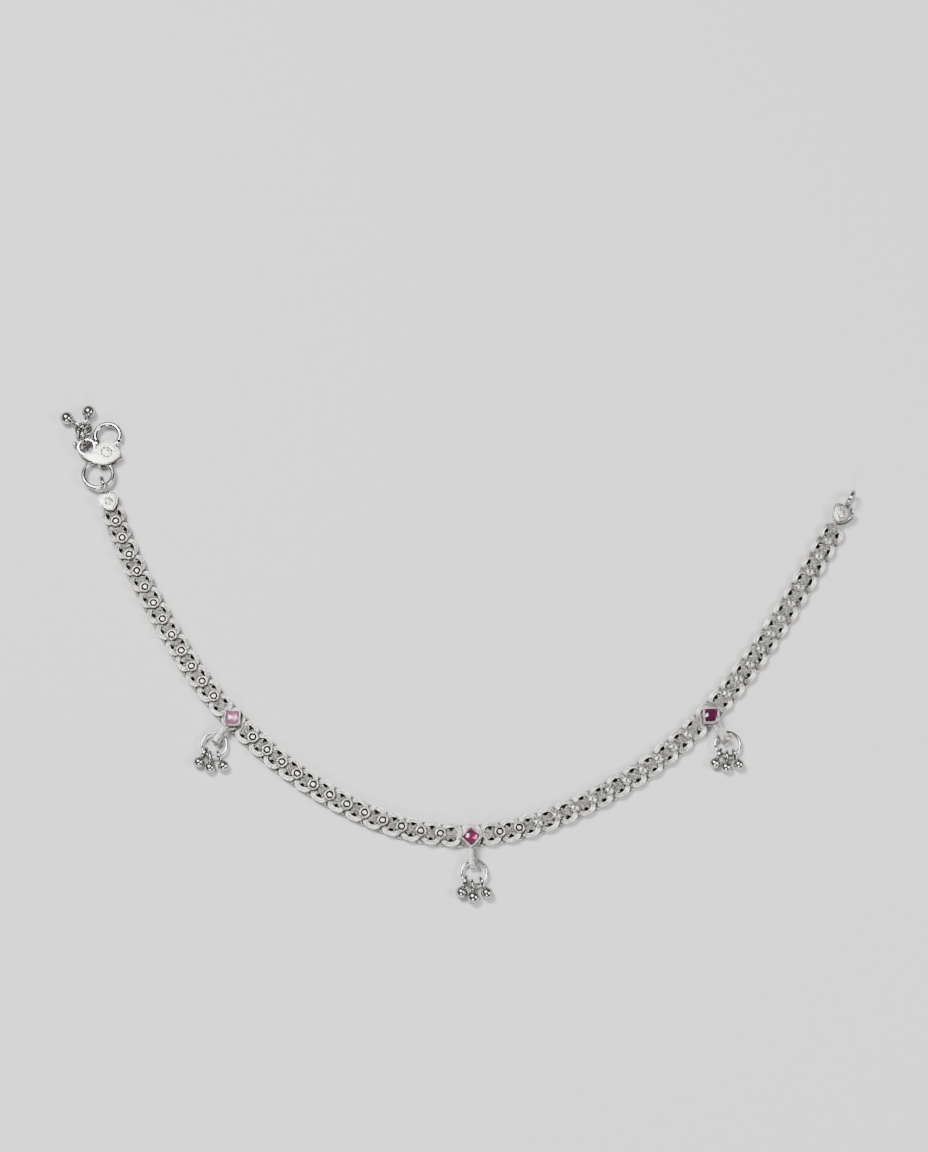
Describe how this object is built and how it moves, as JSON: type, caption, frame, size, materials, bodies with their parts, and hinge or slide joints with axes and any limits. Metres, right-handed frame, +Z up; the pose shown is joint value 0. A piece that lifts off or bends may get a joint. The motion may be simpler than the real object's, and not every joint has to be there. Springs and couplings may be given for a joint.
{
  "type": "payal anklet",
  "caption": "flat silver link chain laid open in a bow, with square stone settings, bell drops and a heart-shaped claw clasp",
  "frame": {"origin": "middle of the whole anklet's box, on the surface it lies on", "axes": "+X from the clasp end to the plain end, +Y from the bottom of the bow towards its two open ends, +Z up"},
  "size_m": [0.187, 0.1206, 0.005],
  "materials": {
    "silver": "cast and granulated silver, darkened in the crevices",
    "bright_silver": "smooth polished silver",
    "stone_light": "faceted pale pink stone",
    "stone_mid": "faceted magenta stone",
    "stone_dark": "faceted dark plum stone"
  },
  "bodies": {
    "anklet": {"chain_1": "silver", "chain_2": "silver", "chain_3": "silver", "chain_4": "silver", "setting_left": "silver", "setting_centre": "silver", "setting_right": "silver", "drop_ring_left": "silver", "drop_ring_centre": "silver", "drop_ring_right": "silver", "end_cap_left": "silver", "end_cap_right": "silver", "left_bell_1": "bright_silver", "left_bell_2": "bright_silver", "left_bell_3": "bright_silver", "centre_bell_1": "bright_silver", "centre_bell_2": "bright_silver", "centre_bell_3": "bright_silver", "right_bell_1": "bright_silver", "right_bell_2": "bright_silver", "right_bell_3": "bright_silver", "clasp_body": "bright_silver", "clasp_jump_ring": "bright_silver", "clasp_dangle_link": "bright_silver", "clasp_cluster_ring": "bright_silver", "clasp_bell_1": "bright_silver", "clasp_bell_2": "bright_silver", "clasp_bell_3": "bright_silver", "stone_left": "stone_light", "stone_centre": "stone_mid", "stone_right": "stone_dark"},
    "lever": {"clasp_lever": "bright_silver"}
  },
  "joints": [
    {"name": "clasp_lever_hinge", "type": "hinge", "parent": "anklet", "child": "lever", "pos_m": [-0.08364, 0.04818, 0.00145], "axis": [0, 0, 1], "range_deg": [0, 14], "stiffness_Nm_per_rad": 0.01, "springref_deg": -11.46}
  ]
}
